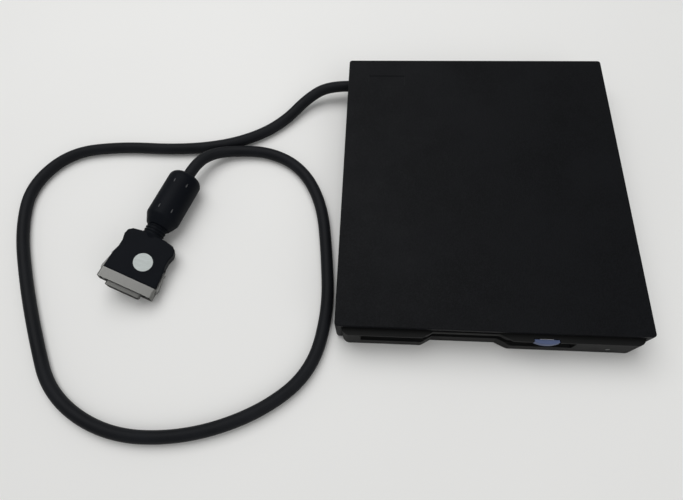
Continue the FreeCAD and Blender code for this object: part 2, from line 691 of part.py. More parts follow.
def head_parts():
    x = disk_centre
    y_head = y_spindle + head_from_spindle
    y_pivot = y_front + arm_pivot_from_front
    low = chassis_floor + sheet + 0.3
    rod_x = x + rod_offset
    base = box(x - 7.0, x + 9.0, y_head - 1.9, y_pivot + 2.3, low, low + 1.2)
    tower = box(x - 9.0, x + 9.0, y_pivot - 2.2, y_pivot + 2.3, low, arm_pivot_height - 1.6)
    cheeks = [box(x + dx, x + dx + 1.6, y_pivot - 2.2, y_pivot + 2.3, low, arm_pivot_height + 1.3)
              for dx in (-9.0, 7.4)]
    bearing = box(rod_x - 3.0, x - 8.0, y_pivot - 3.0, y_pivot + 2.3, low, rod_height + rod_radius + 1.2)
    carriage = base.fuse([tower, bearing] + cheeks)
    carriage = carriage.cut(rod((rod_x, y_pivot - 9.0, rod_height), (0, 1, 0), 20.0,
                                rod_radius + pin_clearance))
    carriage = carriage.cut(rod((x - 12.0, y_pivot, arm_pivot_height), (1, 0, 0), 24.0, 0.8))
    keep("head_carriage", carriage)
    keep("lower_head", box(x - 2.6, x + 2.6, y_head - 1.7, y_head + 1.7, low + 1.2, 7.3))
    screw_x = x + screw_offset
    follower = box(x + 9.0, screw_x - screw_radius - 0.1, y_pivot - 1.7, y_pivot - 0.3,
                   screw_height - 0.5, screw_height + 0.5)
    keep("screw_follower", follower)
    keep("arm_pin", rod((x - 9.0, y_pivot, arm_pivot_height), (1, 0, 0), 18.0, 0.8))
    hub = rod((x - 7.2, y_pivot, arm_pivot_height), (1, 0, 0), 14.4, 1.5)
    arm = box(x - 6.0, x + 6.0, y_head - 3.0, y_pivot, arm_pivot_height - 0.4, arm_pivot_height + 0.6)
    arm = arm.cut(plate(x - 3.4, x + 3.4, y_head + 5.0, y_pivot - 4.0, 0.0, 20.0, 1.0))
    arm = arm.fuse(hub)
    arm = arm.cut(box(x - 3.0, x + 3.0, y_pivot - 2.2, y_pivot + 2.2, 0.0, 20.0))
    arm = arm.cut(rod((x - 9.0, y_pivot, arm_pivot_height), (1, 0, 0), 18.0, 0.8 + pin_clearance))
    keep("upper_head_arm", arm)
    keep("upper_head", box(x - 2.6, x + 2.6, y_head - 1.7, y_head + 1.7, cradle_ceiling,
                           arm_pivot_height - 0.4))
    coil = rod((x - 2.6, y_pivot, arm_pivot_height), (1, 0, 0), 5.2, 1.25)
    keep("arm_spring", coil.cut(rod((x - 3, y_pivot, arm_pivot_height), (1, 0, 0), 6.0, 0.86)))
    keep("guide_rod", rod((rod_x, y_front + 97.0, rod_height), (0, 1, 0), 34.8, rod_radius))


def stepper_parts():
    x = disk_centre + screw_offset
    y_face = y_front + 120.0
    motor = rod((x, y_face, screw_height), (0, 1, 0), 13.5, motor_radius)
    motor = motor.makeFillet(0.6, [e for e in motor.Edges if e.Curve.TypeId == "Part::GeomCircle"])
    flange = box(x - 8.0, x + 8.0, y_face - 0.8, y_face, chassis_floor + sheet, screw_height + 2.2)
    motor = motor.fuse(flange)
    motor = motor.cut(rod((x, y_face - 2.0, screw_height), (0, 1, 0), 8.0, screw_radius + pin_clearance))
    keep("stepper_motor", motor)
    keep("lead_screw", rod((x, y_front + 98.3, screw_height), (0, 1, 0), 27.0, screw_radius))
    bracket = box(x - 3.0, x + 3.0, y_front + 98.0, y_front + 99.4, chassis_floor + sheet, screw_height + 2.2)
    bracket = bracket.cut(rod((x, y_front + 98.2, screw_height), (0, 1, 0), 3.0, screw_radius + pin_clearance))
    keep("screw_bracket", bracket)


def switches_and_boards():
    top = chassis_floor + sheet
    switches = []
    for dx in (-35.5, -29.5, 30.5):
        case = box(disk_centre + dx, disk_centre + dx + 4.0, y_front + 33.0, y_front + 38.0, top, 6.9)
        nub = disc(disk_centre + dx + 2.0, y_front + 35.5, 6.9, 7.4, 0.8)
        switches.append(case.fuse(nub))
    keep("sensor_switches", Part.makeCompound(switches))
    board = plate(board_span[0], board_span[1], y_front + 14.0, y_back - back_wall - 5.0, board_bottom, board_top, 1.5)
    keep("interface_board", board)
    chips = [box(48.0, 58.0, y_front + 60.0, y_front + 70.0, board_top, board_top + 1.1),
             box(49.0, 56.0, y_front + 84.0, y_front + 89.0, board_top, board_top + 1.6),
             box(52.0, 55.0, y_front + 15.0, y_front + 18.0, board_top, led_at[1] + 1.0),
             box(48.5, 57.5, y_front + 99.0, y_front + 115.0, board_top, board_top + 0.2),
             disc(52.0, y_front + 44.0, board_top, board_top + 5.4, 2.5),
             disc(55.0, y_front + 51.0, board_top, board_top + 5.4, 2.5)]
    keep("board_parts", Part.makeCompound(chips[:3] + chips[4:]))
    keep("flat_ribbon", box(disk_centre + 40.0, 50.0, y_front + 100.0, y_front + 114.0, board_top,
                            board_top + 0.3))
    keep("cable_socket", box(socket_left, socket_left + 5.0, exit_y - 4.6, exit_y + 4.6, board_top, board_top + 4.4))


def drive_screws():
    group = [screw(x, y, chassis_floor + sheet + 0.9, 0.9, 1.9, 2.4, -1) for x, y in post_places]
    keep("drive_screws", Part.makeCompound(group))


def cable_entry():
    """Grommet in the wall, clamp behind it and the leads to the board."""
    centre = (exit_y, exit_height)
    inner_face = -x_side + side_wall
    lead_radius = cable_diameter / 2.0
    grommet = rod((-x_side, *centre), (1, 0, 0), side_wall + 1.0, grommet_radius)
    grommet = grommet.fuse(rod((-x_side, *centre), (1, 0, 0), 0.6, grommet_flange))
    grommet = grommet.fuse(rod((inner_face, *centre), (1, 0, 0), 1.0, grommet_flange - 0.3))
    keep("cable_grommet", grommet.cut(rod((-x_side - 1, *centre), (1, 0, 0), 9.0, lead_radius)))
    clamp_end = inner_face + clamp_gap + clamp_width
    clamp = plate(inner_face + clamp_gap, clamp_end, exit_y - 5.5, exit_y + 5.5, floor_top, exit_height + 4.6, 0.8)
    keep("cable_clamp", clamp.cut(rod((inner_face, *centre), (1, 0, 0), 15.0, lead_radius)))
    leads = [rod((-x_side, *centre), (1, 0, 0), clamp_end + x_side + 2.5, lead_radius)]
    for k in range(5):
        offset = (k - 2) * 1.5
        route = [(clamp_end + 2.0, exit_y + offset * 0.7, exit_height),
                 (clamp_end + 9.5, exit_y + offset, exit_height),
                 (clamp_end + 17.5, exit_y + offset, lead_height),
                 (socket_left, exit_y + offset, lead_height)]
        wire, _, _ = tube_path(route, 0.55)
        leads.append(wire)
    keep("inner_leads", leads[0].fuse(leads[1:]))


def cable_route():
    """Points of the free cable, from the wall of the case to the moulded sleeve."""
    low = cable_diameter / 2.0 + cable_lift
    end = plug_point(neck_offset, sleeve_end, 0.0)
    lead_in = plug_point(neck_offset, sleeve_end + lead_in_run, 0.0)
    return [
        (-x_side, exit_y, exit_height),
        (-83.0, exit_y, exit_height),
        (-95.5, 64.0, 5.4),
        (-107.0, 50.0, low),
        (-121.0, 39.0, low),
        (-141.0, 31.3, low),
        (-168.0, 28.0, low),
        (-203.0, 29.5, low),
        (-232.0, 24.5, low),
        (-248.5, 2.0, low),
        (-245.5, -25.0, low),
        (-233.5, -55.0, low),
        (-219.0, -84.5, low),
        (-203.5, -112.0, low),
        (-172.5, -128.0, low),
        (-137.0, -127.5, low),
        (-104.0, -115.5, low),
        (-81.0, -96.0, low),
        (-74.9, -66.0, low),
        (-77.5, -36.0, low),
        (-82.0, -6.0, low),
        (-94.5, 16.5, low),
        (-113.8, 27.3, low),
        (-135.1, 27.3, 3.9),
        (-146.6, 22.7, 7.0),
        (lead_in.x, lead_in.y, lead_in.z),
        (end.x, end.y, end.z),
    ]


def cable():
    tube, length, radii = tube_path(cable_route(), cable_diameter / 2.0)
    area = math.pi * cable_diameter ** 2 / 4.0
    print("cable length", round(length, 1), "volume ratio", round(tube.Volume / (area * length), 4))
    print("cable radii", radii)
    keep("cable", tube)


def plug_placement():
    turn = Rotation(Vector(0, 0, 1), plug_heading).multiply(Rotation(Vector(0, 1, 0), plug_roll))
    return Placement(Vector(*plug_origin), turn)


def plug_point(across, back, up):
    """Place in the room of a point given in the plug's own directions."""
    return plug_placement().multVec(Vector(across, back, up))


def keep_on_neck(name, shape):
    """Pieces round the cable, whose axis is a little off the middle of the plug."""
    shape.translate(Vector(neck_offset, 0, 0))
    keep_on_plug(name, shape)


def keep_on_plug(name, shape):
    shape.Placement = plug_placement().multiply(shape.Placement)
    keep(name, shape)


def mirrored(points):
    return points + [(-x, y) for x, y in reversed(points)]


def plug_shells():
    half = plug_thickness / 2.0
    side = [(plug_width / 2.0 - 0.1, band_length), (13.3, 14.0), (12.4, 17.6), (12.4, 21.0), (13.2, 24.4),
            (12.7, 27.0), (10.8, 28.6), (6.0, plug_length)]
    body = prism(mirrored(side), -half, half)
    body = body.makeFillet(0.7, edges_at_height(body, half) + edges_at_height(body, -half))
    collar = Part.makeCone(half - 0.2, neck_radius + 0.1, 2.4, Vector(neck_offset, plug_length - 2.4, 0),
                           Vector(0, 1, 0))
    body = body.fuse(collar)
    body = body.cut(box(-9.4, 9.4, 7.0, 24.0, -2.9, 2.9))
    body = body.cut(rod((neck_offset, 11.5, 0), (0, 1, 0), 28.0, cable_diameter / 2.0))
    for sign in (-1, 1):
        channel = box(11.0, 16.0, band_length - 1.0, 16.6, -2.4, 2.4)
        if sign < 0:
            channel = channel.mirror(Vector(0, 0, 0), Vector(1, 0, 0))
        body = body.cut(channel)
        body = body.cut(rod((sign * 12.6, 13.5, -3.8), (0, 0, 1), 7.6, 0.8))
    upper = body.common(box(-20, 20, 0, 40, 0, 9))
    lower = body.common(box(-20, 20, 0, 40, -9, 0))
    keep_on_plug("plug_shell_upper", upper)
    keep_on_plug("plug_shell_lower", lower)


def plug_band():
    half_x = plug_width / 2.0 + band_step
    half_z = plug_thickness / 2.0 - 0.1
    outer = box(-half_x, half_x, 0.0, band_length, -half_z, half_z)
    outer = outer.makeFillet(1.2, edges_along(outer, Vector(0, 1, 0)))
    inner = box(-half_x + band_wall, half_x - band_wall, -1.0, band_length + 1.0, -half_z + band_wall,
                half_z - band_wall)
    inner = inner.makeFillet(0.7, edges_along(inner, Vector(0, 1, 0)))
    band = outer.cut(inner)
    for side in (-1, 1):
        x = side * half_x
        band = band.cut(box(x - 1.2, x + 1.2, 3.3, band_length + 1.0, -2.4, 2.4))
    keep_on_plug("plug_metal_band", band)
    deep = half_z - band_wall
    block = box(-9.9, 9.9, 0.4, band_length, -deep, deep)
    tongue = box(-7.6, 7.6, -1.8, 0.4, -0.8, 0.8)
    keep_on_plug("contact_block", block.fuse(tongue))
    contacts = []
    start = -(contact_count - 1) * contact_pitch / 2.0
    for k in range(contact_count):
        x = start + k * contact_pitch
        for low, high in ((0.8, 1.0), (-1.0, -0.8)):
            contacts.append(box(x - 0.25, x + 0.25, -1.6, 0.4, low, high))
    keep_on_plug("plug_contacts", Part.makeCompound(contacts))


def plug_shroud():
    """D-shaped metal collar round the contacts."""
    wall = 0.5
    solids = []
    for inset in (0.0, wall):
        half = shroud_width / 2.0 - inset
        high = shroud_height / 2.0 - inset
        ring = [Vector(-half, 0, high), Vector(half, 0, high), Vector(half - 1.4, 0, -high),
                Vector(-half + 1.4, 0, -high)]
        solid = Part.Face(Part.makePolygon(ring + ring[:1])).extrude(Vector(0, -shroud_reach - 0.4, 0))
        solid = solid.makeFillet(1.1 - inset, edges_along(solid, Vector(0, 1, 0)))
        solids.append(solid)
    shroud = solids[0].cut(solids[1])
    shroud.translate(Vector(0, 0.4, 0))
    keep_on_plug("plug_shroud", shroud)


def plug_latches():
    outline = [(12.0, 16.2), (13.0, 15.2), (13.9, 12.0), (15.0, 6.0), (14.9, 4.6), (14.3, 3.7), (12.1, 3.7),
               (12.1, 0.4), (11.2, 0.4), (11.2, 4.7), (13.6, 4.7), (13.9, 6.0), (12.9, 11.6), (12.0, 13.0)]
    right = prism(outline, -2.1, 2.1)
    right = right.fuse(rod((12.6, 13.5, -2.1), (0, 0, 1), 4.2, 1.5))
    right = right.cut(rod((12.6, 13.5, -3.0), (0, 0, 1), 6.0, 0.8 + pin_clearance))
    left = right.mirror(Vector(0, 0, 0), Vector(1, 0, 0))
    keep_on_plug("plug_latch_right", right)
    keep_on_plug("plug_latch_left", left)
    pins = [rod((s * 12.6, 13.5, -3.8), (0, 0, 1), 7.6, 0.8) for s in (-1, 1)]
    keep_on_plug("latch_pins", Part.makeCompound(pins))


def plug_label():
    half = plug_thickness / 2.0
    keep_on_plug("plug_label", rod((label_at[0], label_at[1], half), (0, 0, 1), 0.12, label_radius))


def plug_neck():
    inner = cable_diameter / 2.0
    steps = 3
    groove = (neck_end - plug_length) / (2 * steps + 1)
    profile = [(inner, plug_length)]
    y = plug_length
    for k in range(2 * steps + 1):
        radius = neck_radius if k % 2 == 0 else neck_radius - 0.6
        profile.append((radius, y))
        y += groove
        profile.append((radius, y))
    profile.append((inner, neck_end))
    keep_on_neck("plug_strain_relief", revolve_y(profile))
    lead = rod((0, 12.0, 0), (0, 1, 0), sleeve_end - 12.0, cable_diameter / 2.0)
    keep_on_neck("plug_lead", lead)


def ferrite():
    inner = cable_diameter / 2.0
    r = sleeve_radius
    front = neck_end
    end = sleeve_end
    outer = [Vector(inner, front, 0), Vector(r - 3.0, front, 0), Vector(r - 2.3, front + 0.6, 0),
             Vector(r - 0.3, front + 4.9, 0), Vector(r, front + 5.6, 0), Vector(r, end - 4.2, 0)]
    edges = [Part.LineSegment(a, b).toShape() for a, b in zip(outer, outer[1:])]
    dome_mid = Vector(r - 4.2 * (1 - math.sqrt(0.5)), end - 4.2 * (1 - math.sqrt(0.5)), 0)
    edges.append(Part.Arc(outer[-1], dome_mid, Vector(r - 4.2, end, 0)).toShape())
    edges.append(Part.LineSegment(Vector(r - 4.2, end, 0), Vector(inner, end, 0)).toShape())
    edges.append(Part.LineSegment(Vector(inner, end, 0), outer[0]).toShape())
    sleeve = Part.Face(Part.Wire(edges)).revolve(Vector(0, 0, 0), Vector(0, 1, 0), 360)
    core_y = (front + 6.0, end - 5.0)
    cavity = rod((0, core_y[0], 0), (0, 1, 0), core_y[1] - core_y[0], r - 1.4)
    sleeve = sleeve.cut(cavity)
    core = cavity.cut(rod((0, core_y[0] - 1, 0), (0, 1, 0), core_y[1] - core_y[0] + 2, inner))
    for across in (-3.2, 3.6):
        for back in (front + 9.0, end - 8.0):
            pit = box(across - 0.35, across + 0.35, back - 1.1, back + 1.1, r - 1.6, r + 1.0)
            sleeve = sleeve.cut(pit)
    keep_on_neck("ferrite_sleeve", sleeve)
    keep_on_neck("ferrite_core", core)


def build():
    for make in (top_cover, bottom_cover, rubber_feet, case_screws, front_bezel, slot_flap, flap_spring,
                 led_lens, eject_button, eject_slider, disk_cradle, cradle_pins, shutter_lever, lever_rivet,
                 drive_chassis, drive_top_shield, slider_springs, main_board, spindle_parts, head_parts,
                 stepper_parts, switches_and_boards, drive_screws, cable_entry, cable, plug_shells, plug_band,
                 plug_shroud, plug_latches, plug_label, plug_neck, ferrite):
        make()


build()
os.makedirs("parts", exist_ok=True)
for name, shape in pieces.items():
    shape.exportStep("parts/" + name + ".step")
    print(name, "solids", len(shape.Solids), "volume", round(shape.Volume, 1), "valid", shape.isValid())
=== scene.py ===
import json
import math

import bmesh
import bpy
from bpy.props import FloatProperty, FloatVectorProperty, IntProperty, PointerProperty
from mathutils import Matrix, Vector

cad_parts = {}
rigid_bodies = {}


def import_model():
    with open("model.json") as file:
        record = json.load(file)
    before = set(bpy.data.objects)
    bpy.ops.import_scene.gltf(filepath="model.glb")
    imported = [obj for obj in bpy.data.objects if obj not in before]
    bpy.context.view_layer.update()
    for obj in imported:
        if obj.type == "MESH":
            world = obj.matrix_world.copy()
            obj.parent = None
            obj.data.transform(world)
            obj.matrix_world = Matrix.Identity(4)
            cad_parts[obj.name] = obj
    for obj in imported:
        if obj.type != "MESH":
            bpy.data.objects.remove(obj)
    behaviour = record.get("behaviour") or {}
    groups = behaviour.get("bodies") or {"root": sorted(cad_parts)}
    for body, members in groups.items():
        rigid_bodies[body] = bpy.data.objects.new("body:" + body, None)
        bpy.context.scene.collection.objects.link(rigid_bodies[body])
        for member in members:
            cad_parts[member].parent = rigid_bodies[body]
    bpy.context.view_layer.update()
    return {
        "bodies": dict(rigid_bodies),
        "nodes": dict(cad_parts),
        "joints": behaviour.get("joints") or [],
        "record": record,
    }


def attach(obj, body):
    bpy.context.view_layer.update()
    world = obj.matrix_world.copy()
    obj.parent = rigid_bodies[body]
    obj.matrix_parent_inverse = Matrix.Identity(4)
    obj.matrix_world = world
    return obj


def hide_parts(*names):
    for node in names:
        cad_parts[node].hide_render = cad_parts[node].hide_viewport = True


bl_info = {
    "name": "External Disk Drive",
    "version": (1, 0, 0),
    "blender": (4, 5, 0),
    "location": "View3D > Sidebar > Drive",
    "description": "Finishes, cable, plug dressing and studio for a slot-loading external disk drive",
    "category": "Object",
}

MM = 0.001

CABLE_POINTS = (
    (-70.5, 70.5, 9.0), (-83.0, 70.5, 9.0), (-95.5, 64.0, 5.4), (-107.0, 50.0, 3.15),
    (-121.0, 39.0, 3.15), (-141.0, 31.3, 3.15), (-168.0, 28.0, 3.15), (-203.0, 29.5, 3.15),
    (-232.0, 24.5, 3.15), (-248.5, 2.0, 3.15), (-245.5, -25.0, 3.15), (-233.5, -55.0, 3.15),
    (-219.0, -84.5, 3.15), (-203.5, -112.0, 3.15), (-172.5, -128.0, 3.15), (-137.0, -127.5, 3.15),
    (-104.0, -115.5, 3.15), (-81.0, -96.0, 3.15), (-74.9, -66.0, 3.15), (-77.5, -36.0, 3.15),
    (-82.0, -6.0, 3.15), (-94.5, 16.5, 3.15), (-113.8, 27.3, 3.15), (-135.1, 27.3, 3.9),
    (-146.6, 22.7, 7.0),
)
PLUG_ORIGIN = (-176.6, -59.5, 9.0)
PLUG_HEADING = -18.6
PLUG_ROLL = 20.0
SLEEVE_END = 68.4
LEAD_IN = 8.9
NECK_OFFSET = -1.5
NECK_END = 35.2
PLUG_END = 29.6

CABLE_BORE = 3.1
SLEEVE_RADIUS = 8.8
SLEEVE_DOME = 4.2
SLEEVE_TAPER = 5.4
SLEEVE_TAPER_DEPTH = 2.7
SLEEVE_SOFTENING = 0.8
PIP_PLACES = (-3.2, 3.6)
PIP_INSETS = (9.0, 8.0)
PIP_SIZE = (0.32, 1.15, 0.22)
NECK_RADIUS = 4.75
RIB_FOOT = 4.6
RIB_RADIUS = 5.3
RIB_SOFTENING = 0.3
SHARP_ANGLE = 32

BACKDROP = (0.82, 0.82, 0.81, 1.0)
WORLD_STRENGTH = 0.32
DESK_HALF_SIDE = 4.0
KEY_PLACE = (-0.25, 0.35, 0.9)
KEY_SIZE = 0.9
FILL_PLACE = (0.5, -0.6, 0.7)
FILL_SIZE = 0.8
FILL_SHARE = 0.35
LAMP_AIM = (-0.05, 0.0, 0.0)
SENSOR_WIDTH = 36.0
LENS_LENGTH = 26.54
CAMERA_MATRIX = (
    (0.9974507, -0.0269317, 0.0660817, -0.0530),
    (0.0516927, 0.9110949, -0.4089424, -0.13903),
    (-0.0491932, 0.4113158, 0.9101645, 0.23968),
    (0.0, 0.0, 0.0, 1.0),
)


def plug_matrix():
    """Placement of the plug's own directions in the room, in metres."""
    heading = Matrix.Rotation(math.radians(PLUG_HEADING), 4, "Z")
    roll = Matrix.Rotation(math.radians(PLUG_ROLL), 4, "Y")
    return Matrix.Translation(Vector(PLUG_ORIGIN) * MM) @ (heading @ roll)


def plug_point(across, back, up):
    """A point in the room, in metres, from millimetres along the plug's own directions."""
    return plug_matrix() @ (Vector((across, back, up)) * MM)


# Shader maths


class Wave:
    """A node socket that can be used in ordinary arithmetic."""

    def __init__(self, shader, socket):
        self.shader = shader
        self.socket = socket

    def maths(self, operation, *others):
        node = self.shader.node("ShaderNodeMath", operation=operation)
        for index, value in enumerate((self,) + others):
            self.shader.feed(node.inputs[index], value)
        return Wave(self.shader, node.outputs[0])

    def __add__(self, other):
        return self.maths("ADD", other)

    def __mul__(self, other):
        return self.maths("MULTIPLY", other)

    def ramp(self, low, high):
        node = self.shader.node("ShaderNodeMapRange", clamp=True)
        self.shader.feed(node.inputs["Value"], self)
        node.inputs["From Min"].default_value = low
        node.inputs["From Max"].default_value = high
        return Wave(self.shader, node.outputs["Result"])


class Shader:
    """Builds one node material around a Principled BSDF."""

    def __init__(self, name):
        self.material = bpy.data.materials.new(name)
        self.material.use_nodes = True
        self.tree = self.material.node_tree
        self.bsdf = self.tree.nodes["Principled BSDF"]
        self.where = self.node("ShaderNodeTexCoord").outputs["Object"]

    def node(self, kind, **settings):
        made = self.tree.nodes.new(kind)
        for key, value in settings.items():
            setattr(made, key, value)
        return made

    def feed(self, socket, value):
        if isinstance(value, Wave):
            self.tree.links.new(value.socket, socket)
        elif isinstance(value, bpy.types.NodeSocket):
            self.tree.links.new(value, socket)
        else:
            socket.default_value = value

    def noise(self, scale, detail=3.0, rough=0.5, stretch=(1, 1, 1)):
        mapping = self.node("ShaderNodeMapping")
        mapping.inputs["Scale"].default_value = stretch
        self.feed(mapping.inputs["Vector"], self.where)
        node = self.node("ShaderNodeTexNoise")
        node.inputs["Scale"].default_value = scale
        node.inputs["Detail"].default_value = detail
        node.inputs["Roughness"].default_value = rough
        self.feed(node.inputs["Vector"], mapping.outputs[0])
        return Wave(self, node.outputs[0])

    def cells(self, scale, feature="F1"):
        node = self.node("ShaderNodeTexVoronoi", feature=feature)
        node.inputs["Scale"].default_value = scale
        self.feed(node.inputs["Vector"], self.where)
        return Wave(self, node.outputs["Distance"])

    def edges(self, size=0.0004):
        """High where the surface turns sharply, from a bevelled normal."""
        bevel = self.node("ShaderNodeBevel", samples=4)
        bevel.inputs["Radius"].default_value = size
        plain = self.node("ShaderNodeNewGeometry").outputs["Normal"]
        dot = self.node("ShaderNodeVectorMath", operation="DOT_PRODUCT")
        self.feed(dot.inputs[0], bevel.outputs[0])
        self.feed(dot.inputs[1], plain)
        return Wave(self, dot.outputs["Value"]).ramp(1.0, 0.75)

    def mix(self, factor, low, high):
        node = self.node("ShaderNodeMix", data_type="RGBA")
        self.feed(node.inputs["Factor"], factor)
        node.inputs["A"].default_value = (*low, 1.0)
        node.inputs["B"].default_value = (*high, 1.0)
        return node.outputs["Result"]

    def bump(self, height, strength, distance):
        node = self.node("ShaderNodeBump")
        node.inputs["Strength"].default_value = strength
        node.inputs["Distance"].default_value = distance
        self.feed(node.inputs["Height"], height)
        self.feed(self.bsdf.inputs["Normal"], node.outputs[0])

    def finish(self, color, rough, metallic=0.0, coat=0.0, specular=0.5):
        self.feed(self.bsdf.inputs["Base Color"], color)
        self.feed(self.bsdf.inputs["Roughness"], rough)
        self.bsdf.inputs["Metallic"].default_value = metallic
        self.bsdf.inputs["Coat Weight"].default_value = coat
        self.bsdf.inputs["Specular IOR Level"].default_value = specular
        return self.material


def moulded(name, dark, light, rough, grain=1400.0, depth=0.00003, edge_highlight=None, coat=0.0,
            specular=0.5, leather=False):
    """Moulded plastic: fine or leathery grain, faint cloudiness, and sharp edges lightened toward the edge
    colour as a painted highlight.
    """
    s = Shader(name)
    fine = s.cells(grain).ramp(0.1, 0.75) if leather else s.noise(grain, 2.0)
    cloud = s.noise(35.0, 3.0)
    blend = cloud * 0.6 + fine * 0.4
    tint = s.mix(blend.ramp(0.35, 0.65), dark, light)
    # Sharp edges are mixed toward the edge colour: a painted highlight along the edges.
    edge = s.edges()
    both = s.node("ShaderNodeMix", data_type="RGBA")
    s.feed(both.inputs["Factor"], edge * 0.8)
    s.feed(both.inputs["A"], tint)
    both.inputs["B"].default_value = (*(edge_highlight or light), 1.0)
    s.bump(fine, 0.35, depth)
    scuffs = s.noise(60.0, 4.0, 0.65)
    return s.finish(both.outputs["Result"], scuffs.ramp(0.2, 0.8) * 0.14 + (rough - 0.07), coat=coat,
                    specular=specular)


def metal(name, dark, light, rough, streak=(1, 1, 1), scale=180.0):
    """Sheet or turned metal with drawn streaks and a few tarnished patches."""
    s = Shader(name)
    lines = s.noise(scale, 4.0, 0.6, streak)
    patches = s.noise(45.0, 2.0)
    tint = s.mix((lines * 0.6 + patches * 0.4).ramp(0.3, 0.7), dark, light)
    s.bump(lines, 0.15, 0.00002)
    return s.finish(tint, lines.ramp(0.2, 0.8) * 0.16 + (rough - 0.08), metallic=1.0)


def board(name):
    """Solder mask over copper tracks."""
    s = Shader(name)
    tracks = s.cells(420.0, "DISTANCE_TO_EDGE").ramp(0.05, 0.08)
    tint = s.mix(tracks, (0.03, 0.17, 0.07), (0.012, 0.09, 0.035))
    s.bump(tracks, 0.3, 0.00003)
    return s.finish(tint, 0.35, coat=0.3)


def windings(name):
    """Enamelled copper wire in close turns."""
    s = Shader(name)
    turns = s.noise(900.0, 1.0, 0.5, (1, 1, 12))
    tint = s.mix(turns.ramp(0.35, 0.65), (0.28, 0.10, 0.03), (0.62, 0.27, 0.10))
    s.bump(turns, 0.5, 0.00005)
    return s.finish(tint, 0.32, metallic=0.8, coat=0.4)


def foil(name):
    """Pale foil sticker with a brushed sheen."""
    s = Shader(name)
    brushed = s.noise(260.0, 4.0, 0.6, (1, 10, 1))
    tint = s.mix(brushed.ramp(0.3, 0.7), (0.40, 0.43, 0.42), (0.48, 0.52, 0.51))
    s.bump(brushed, 0.1, 0.00002)
    return s.finish(tint, 0.42, metallic=0.25)


def jacket(name):
    """Soft cable jacket: slight waviness along its length and dull rubbed patches."""
    s = Shader(name)
    fine = s.noise(1600.0, 2.0)
    waves = s.noise(70.0, 3.0)
    blend = (waves * 0.7 + fine * 0.3).ramp(0.35, 0.65)
    tint = s.mix(blend, (0.0075, 0.0082, 0.0098), (0.0115, 0.0125, 0.0150))
    s.bump(waves * 0.5 + fine * 0.3, 0.3, 0.00008)
    return s.finish(tint, waves.ramp(0.2, 0.8) * 0.15 + 0.45, specular=0.09)


def finishes():
    """Every finish by its material slot name."""
    return {
        # The edge colours given below are painted highlights on sharp edges.
        "case_black": moulded("CaseBlack", (0.0026, 0.0029, 0.0036), (0.0058, 0.0063, 0.0076), 0.50,
                              grain=1500.0, depth=0.00016, edge_highlight=(0.016, 0.017, 0.019), specular=0.07,
                              leather=True),
        "bezel_black": moulded("BezelBlack", (0.0080, 0.0083, 0.0083), (0.0112, 0.0115, 0.0115), 0.55,
                               edge_highlight=(0.019, 0.019, 0.019), specular=0.07),
        "flap_black": moulded("FlapBlack", (0.003, 0.003, 0.003), (0.0045, 0.0045, 0.0045), 0.6,
                              specular=0.08),
        "button_blue": moulded("ButtonBlue", (0.060, 0.082, 0.165), (0.074, 0.100, 0.195), 0.42,
                               edge_highlight=(0.14, 0.18, 0.30), specular=0.3),
        "led_smoke": moulded("LedSmoke", (0.010, 0.013, 0.010), (0.016, 0.019, 0.016), 0.2,
                             depth=0.0, specular=0.3),
        "foot_rubber": moulded("FootRubber", (0.012, 0.012, 0.012), (0.02, 0.02, 0.02), 0.75,
                               depth=0.00006),
        "nylon_grey": moulded("NylonGrey", (0.22, 0.22, 0.22), (0.30, 0.30, 0.29), 0.5),
        "chip_black": moulded("ChipBlack", (0.012, 0.012, 0.013), (0.022, 0.022, 0.022), 0.55),
        "head_white": moulded("HeadWhite", (0.62, 0.62, 0.58), (0.72, 0.72, 0.68), 0.2, coat=0.5),
        "ribbon_white": moulded("RibbonWhite", (0.6, 0.6, 0.55), (0.7, 0.7, 0.65), 0.5),
        "plug_black": moulded("PlugBlack", (0.0032, 0.0042, 0.0064), (0.0050, 0.0062, 0.0090), 0.5,
                              edge_highlight=(0.013, 0.014, 0.017), specular=0.06),
        "screw_zinc": metal("ScrewZinc", (0.42, 0.42, 0.40), (0.58, 0.58, 0.55), 0.34),
        "sheet_steel": metal("SheetSteel", (0.40, 0.41, 0.42), (0.56, 0.57, 0.58), 0.40, (1, 12, 1)),
        "steel_bright": metal("BrightSteel", (0.52, 0.52, 0.52), (0.64, 0.64, 0.64), 0.24, (8, 1, 8)),
        "bronze": metal("Bronze", (0.34, 0.24, 0.12), (0.46, 0.34, 0.18), 0.42),
        "plug_metal": metal("SatinNickel", (0.185, 0.185, 0.178), (0.235, 0.235, 0.226), 0.48, (10, 1, 10)),
        # Paler than the sleeve's black: a painted highlight on the moulding marks.
        "sleeve_mark": moulded("SleeveMarkHighlight", (0.02, 0.021, 0.024), (0.05, 0.052, 0.056), 0.3),
        # A darker copy of the plug's satin nickel: painted shade on the shroud.
        "shroud_shaded_nickel": metal("ShroudShadedNickel", (0.10, 0.10, 0.096), (0.15, 0.15, 0.144), 0.45, (10, 1, 10)),
        "contact_gold": metal("ContactGold", (0.60, 0.42, 0.14), (0.78, 0.56, 0.22), 0.25),
        "ferrite_grey": metal("Ferrite", (0.03, 0.03, 0.03), (0.06, 0.06, 0.06), 0.6),
        "board_green": board("SolderMask"),
        "copper": windings("Windings"),
        "label_silver": foil("Foil"),
        "cable_black": jacket("CableJacket"),
    }


# Pieces


def new_object(name, data):
    made = bpy.data.objects.new(name, data)
    bpy.context.scene.collection.objects.link(made)
    return made


